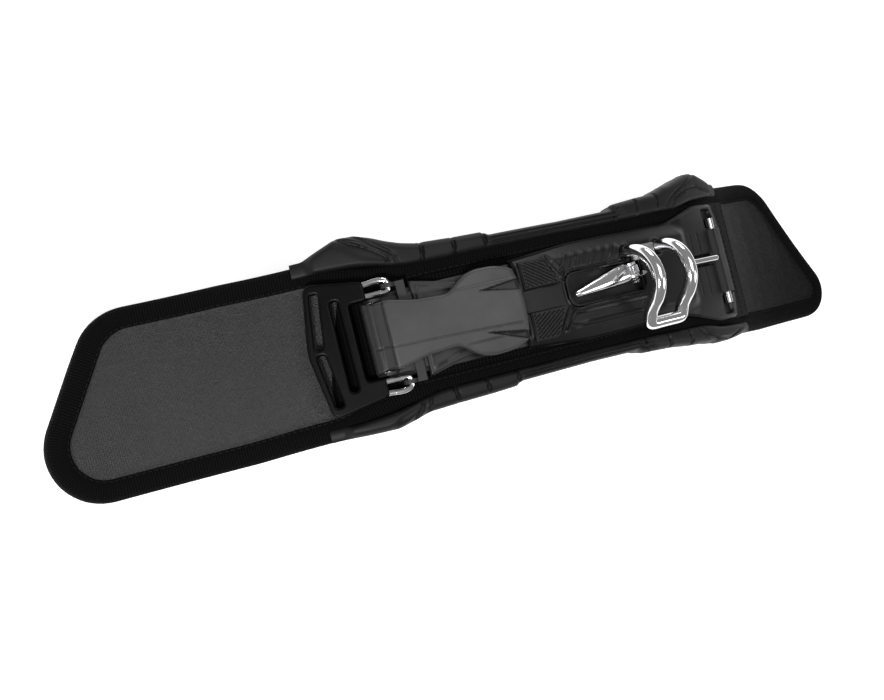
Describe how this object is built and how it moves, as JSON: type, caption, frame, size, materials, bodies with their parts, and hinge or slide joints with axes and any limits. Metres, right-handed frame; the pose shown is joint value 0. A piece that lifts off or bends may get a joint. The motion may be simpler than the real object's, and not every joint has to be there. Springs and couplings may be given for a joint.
{
  "type": "harness spreader bar with waist pad",
  "caption": "Curved padded spreader bar for a kite or windsurf harness, with an over-centre lever, ladder buckle, double-leg steel hook, tapered lock finger and release pin.",
  "frame": {"origin": "on the ground under the centre of the bounding box, with the pad lying on its two wing tips", "axes": "+X along the bar from the lever towards the fixed webbing bar, +Y across the bar to the side where the hook is rooted, +Z out of the bar away from the wearer"},
  "size_m": [0.5662, 0.1121, 0.1294],
  "materials": {
    "pad_foam": "closed-cell foam, black",
    "liner_mesh": "spacer mesh against the body",
    "border_knit": "ribbed knit binding with a row of stitches",
    "woven_panel": "grey-black woven cloth with a faint sheen",
    "moulded_foam": "compression-moulded foam, satin skin",
    "webbing": "folded webbing with a box of stitches",
    "stainless_plate": "brushed stainless",
    "stainless_rod": "drawn stainless",
    "polished_rod": "polished stainless",
    "spring_steel": "spring wire and fasteners",
    "bar_plastic": "fine moulded grain, black",
    "grip_plastic": "cross-hatched soft grip",
    "tray_plastic": "smooth black",
    "base_plastic": "fine moulded grain, black",
    "lever_plastic": "dark grey satin moulding",
    "buckle_plastic": "satin black moulding"
  },
  "bodies": {
    "bar": {"waist_foam": "pad_foam", "body_liner": "liner_mesh", "knit_cover": "border_knit", "left_wing_panel": "woven_panel", "right_wing_panel": "woven_panel", "upper_side_rail": "moulded_foam", "lower_side_rail": "moulded_foam", "seam_strip": "webbing", "spreader_plate": "stainless_plate", "bar_cover": "bar_plastic", "upper_grip_insert": "grip_plastic", "lower_grip_insert": "grip_plastic", "recess_tray": "tray_plastic", "webbing_bar": "stainless_rod", "hook": "polished_rod", "hook_base_plate": "polished_rod", "finger_clevis": "stainless_rod", "finger_pin": "stainless_rod", "finger_spring": "spring_steel", "release_spring": "spring_steel", "lever_base": "base_plastic", "lever_pivot_pin": "stainless_rod", "cover_screws": "spring_steel", "base_rivets": "spring_steel"},
    "lever": {"lever": "lever_plastic", "lever_crank": "stainless_plate", "crank_rivets": "spring_steel"},
    "latch": {"ladder_buckle": "buckle_plastic", "upper_loop": "polished_rod", "lower_loop": "polished_rod"},
    "finger": {"lock_finger": "polished_rod"},
    "release": {"release_pin": "polished_rod"}
  },
  "joints": [
    {"name": "lever_hinge", "type": "hinge", "parent": "bar", "child": "lever", "pos_m": [-0.10733, -0.00415, 0.08107], "axis": [0, -1, 0], "range_deg": [0, 125]},
    {"name": "latch_hinge", "type": "hinge", "parent": "lever", "child": "latch", "pos_m": [-0.0955, -0.00415, 0.08201], "axis": [0, -1, 0], "range_deg": [-125, 0]},
    {"name": "finger_hinge", "type": "hinge", "parent": "bar", "child": "finger", "pos_m": [0.05299, 0.00065, 0.10231], "axis": [-0.1501, 0.9885, 0.0183], "range_deg": [0, 45], "stiffness_Nm_per_rad": 0.02, "springref_deg": -17.19},
    {"name": "release_slide", "type": "slide", "parent": "bar", "child": "release", "axis": [0.9623, 0, -0.2719], "range_m": [0, 0.005], "stiffness_N_per_m": 300, "springref_m": -0.002}
  ],
  "couplings": [
    {"joint": "latch_hinge", "follows": "lever_hinge", "ratio": -1}
  ]
}
